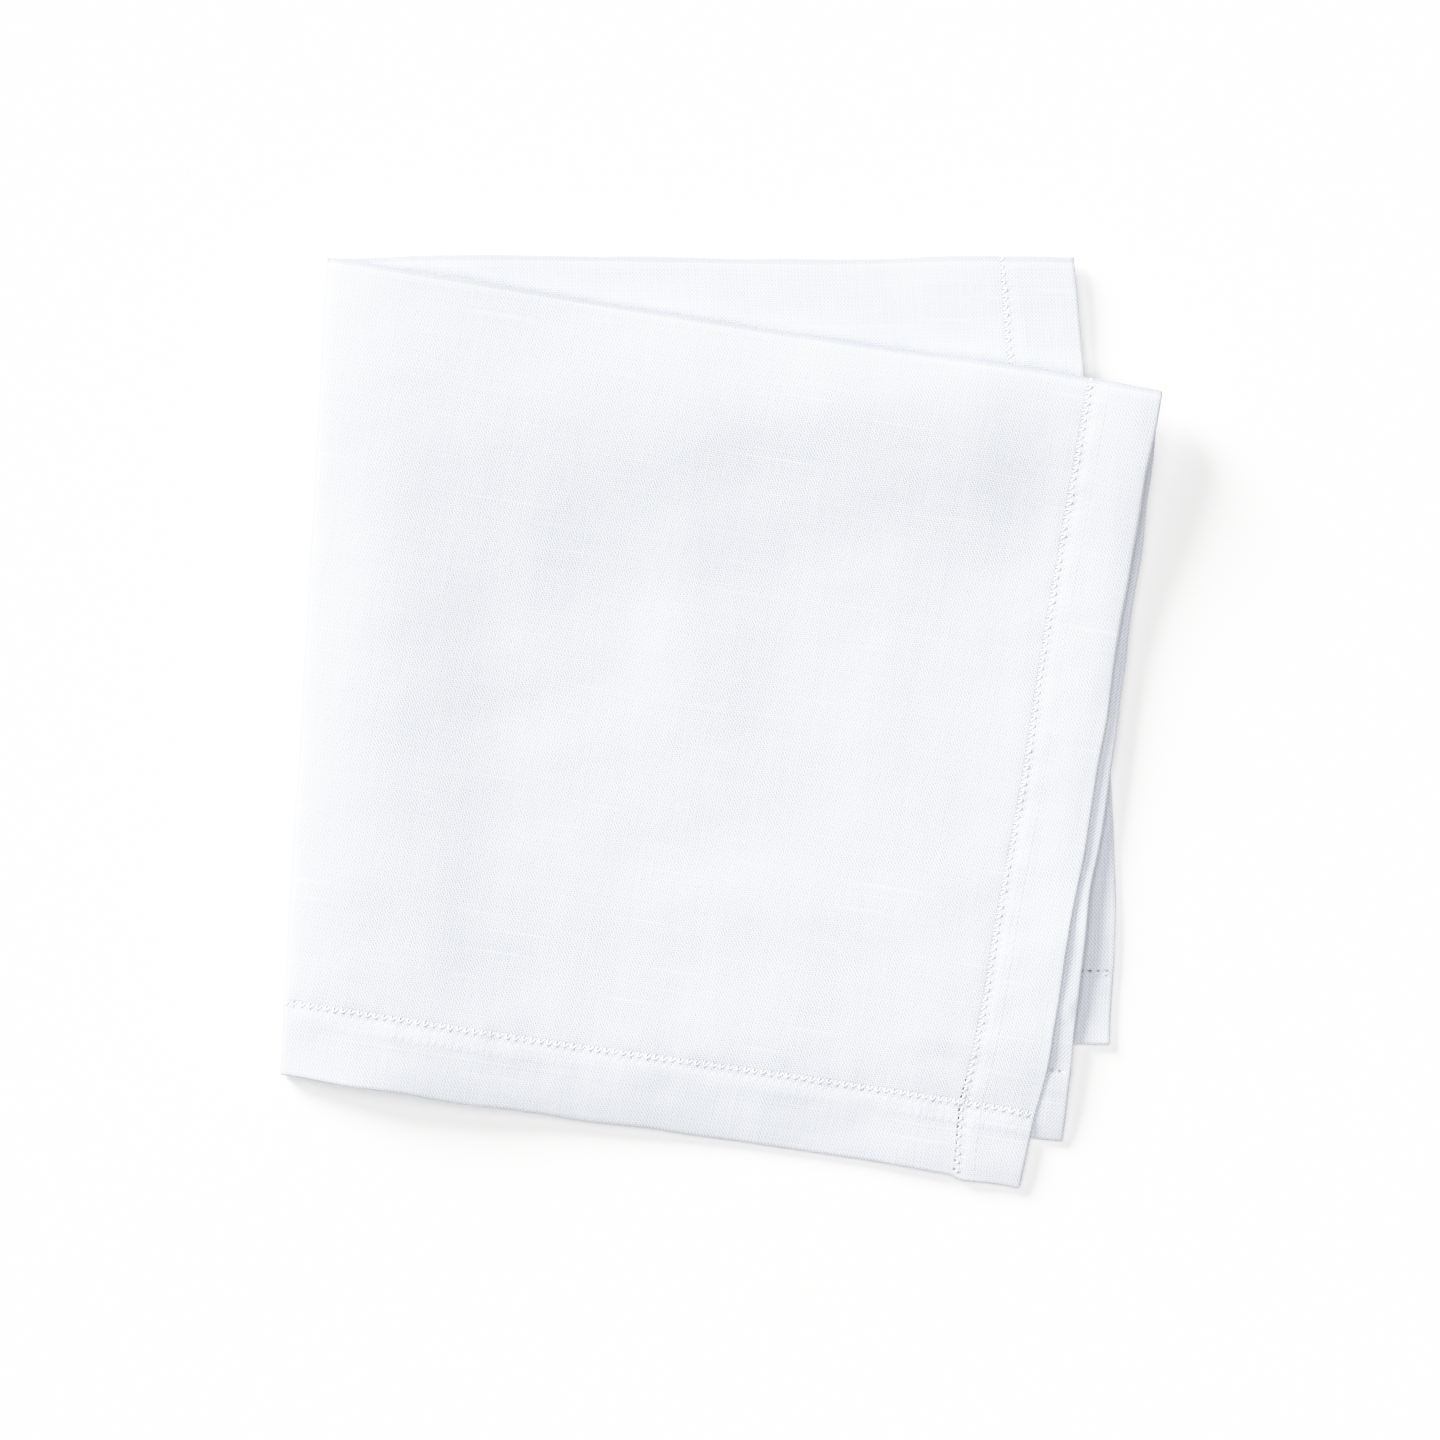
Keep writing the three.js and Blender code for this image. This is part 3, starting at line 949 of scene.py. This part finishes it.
TURNED_EDGE_ON_SIDE = 5.0
TURNED_EDGE_ON_END = 6.2
BEADS = 3.9
patches = linen.noise(uv, 26.0, 1.0).step(0.42, 0.58)
turned_on_side = band(from_side, TURNED_EDGE_ON_SIDE, 0.6) * 0.3
turned_edge = turned_on_side.maths("MAXIMUM", band(from_end, TURNED_EDGE_ON_END, 0.5))
end_beads = band(from_end, BEADS, 1.2) * beads(along_weft)
bead_rows = end_beads + band(from_side, BEADS, 0.5) * beads(along_warp)
knobs = linen.noise(uv, 700.0, 1.0) * (band(from_end, BEADS, 2.0) + 0.6 * band(from_side, 2.6, 1.4))
relief = weave + checks * 0.2 + (turned_edge * 0.4 + bead_rows * 0.9 + knobs * 2.0) * patches
bump = linen.node("ShaderNodeBump", None, {"Strength": 0.5, "Distance": 0.10 * MM, "Height": relief})
linen.set(linen.shader.inputs["Base Color"], colour)
linen.set(linen.shader.inputs["Normal"], bump)
linen.set(linen.shader.inputs["Roughness"], 0.86 - 0.12 * warp_slub)
linen.shader.inputs["Specular IOR Level"].default_value = 0.25
linen.shader.inputs["Sheen Weight"].default_value = 0.08
linen.shader.inputs["Sheen Roughness"].default_value = 0.5
linen_sheet.data.materials.append(linen.material)
print("nodes in all:", len(linen.tree.nodes))

# %% [markdown]
# Sewing thread
#
# The stitches are of the same white as the cloth but denser and smoother, with the
# fine slanting ridges of a plied thread. A wave over the object's own coordinates is
# enough for ridges that are this fine. The grooves between the ridges are painted a
# darker grey, as painted shade.

# %% Ridges and colour of the thread
THREAD_GROOVE_SHADE = (0.82, 0.84, 0.88, 1.0)
THREAD_RIDGE = (0.92, 0.933, 0.965, 1.0)
OBJECT_COORDINATES = 3
sewing = Finish("sewing_thread")
here = sewing.node("ShaderNodeTexCoord", output=OBJECT_COORDINATES)
ply = sewing.node("ShaderNodeTexWave", dict(bands_direction="DIAGONAL"),
                  {"Vector": here, "Scale": 1600.0})
# Painted shade in the grooves between the plies; the ridge colour is the thread's own white.
sewing.set(sewing.shader.inputs["Base Color"],
           sewing.blend(ply.step(0.1, 0.7), THREAD_GROOVE_SHADE, THREAD_RIDGE))
sewing.set(sewing.shader.inputs["Normal"],
           sewing.node("ShaderNodeBump", None, {"Strength": 0.4, "Distance": 0.05 * MM, "Height": ply}))
sewing.shader.inputs["Roughness"].default_value = 0.7
hem_stitches.data.materials.append(sewing.material)
print("nodes in the sewing thread:", len(sewing.tree.nodes))

# %% [markdown]
# Tie the pieces to the frame
#
# The sheet stands in for the CAD solid, which is hidden, and the stitches ride along:
# both are tied to the root body.

# %% Ride and replace
for piece in (linen_sheet, hem_stitches):
    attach(piece, "root")
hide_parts("folded_linen_square")

# %% [markdown]
# Floor, light and camera
#
# The cloth lies on a plain white floor that is a little brighter than the picture can
# show. A low key from the upper left draws the folds, a wide light overhead and a pale
# room fill the shadows. The camera looks straight down from far off, as for a catalogue.

# %% Floor
FLOOR_SIZE = 6.0
floor_mesh = bmesh.new()
bmesh.ops.create_grid(floor_mesh, x_segments=4, y_segments=4, size=FLOOR_SIZE / 2)
floor = add_piece("floor", floor_mesh)
paper = Finish("white_paper")
PAPER_DARK = (0.955, 0.945, 0.93, 1.0)
PAPER_LIGHT = (0.965, 0.955, 0.94, 1.0)
grain = paper.noise(paper.node("ShaderNodeTexCoord", output=OBJECT_COORDINATES), 300.0, 2.0)
paper.set(paper.shader.inputs["Base Color"], paper.blend(grain, PAPER_DARK, PAPER_LIGHT))
paper.shader.inputs["Roughness"].default_value = 1.0
paper.shader.inputs["Specular IOR Level"].default_value = 0.0
paper.shader.inputs["Emission Color"].default_value = (1.0, 1.0, 1.0, 1.0)
paper.shader.inputs["Emission Strength"].default_value = 0.15
floor.data.materials.append(paper.material)

# %% Lights
def add_sun(name, azimuth, elevation, spread, strength, tint=(1.0, 1.0, 1.0)):
    data = bpy.data.lights.new(name, "SUN")
    data.angle = math.radians(spread)
    data.energy = strength
    data.color = tint
    light = bpy.data.objects.new(name, data)
    light.rotation_euler = (math.radians(90 - elevation), 0, math.radians(azimuth + 90))
    bpy.context.scene.collection.objects.link(light)
    return light


add_sun("key", azimuth=135, elevation=23, spread=26, strength=3.06)
add_sun("overhead", azimuth=0, elevation=90, spread=50, strength=1.42, tint=(0.98, 0.988, 1.0))
world = bpy.data.worlds.new("room")
bpy.context.scene.world = world
world.use_nodes = True
world.node_tree.nodes["Background"].inputs["Color"].default_value = (1.0, 1.0, 1.0, 1.0)
world.node_tree.nodes["Background"].inputs["Strength"].default_value = 0.23

# %% Camera
VIEW_WIDTH = 298.8 * MM
CAMERA_HEIGHT = 3.0
CAMERA_ASIDE = -0.2 * MM
camera_data = bpy.data.cameras.new("camera")
camera_data.sensor_width = 36
camera_data.lens = camera_data.sensor_width * CAMERA_HEIGHT / VIEW_WIDTH
camera_data.clip_end = 20
camera = bpy.data.objects.new("camera", camera_data)
camera.location = (CAMERA_ASIDE, 0, CAMERA_HEIGHT)
bpy.context.scene.collection.objects.link(camera)
bpy.context.scene.camera = camera

# %% [markdown]
# Tone of the picture
#
# A photograph keeps its brightest cloth just short of white while the floor goes all
# the way. A curve does the same: straight up to the tone of flat cloth, then bent over.
# It is set in the view, so the materials keep their true colours.

# %% Tone curve
view = bpy.context.scene.view_settings
view.view_transform = "Standard"
view.use_curve_mapping = True
tone = view.curve_mapping
ALL_CHANNELS = 3
BRIGHTEST = 1.5
tone.white_level = (BRIGHTEST, BRIGHTEST, BRIGHTEST)
TONES = [(0.45, 0.45), (0.92, 0.92), (1.03, 0.965), (1.2, 1.0)]
for light, shown in TONES:
    tone.curves[ALL_CHANNELS].points.new(light / BRIGHTEST, shown)
tone.update()
print("lens, mm:", round(camera_data.lens, 1))
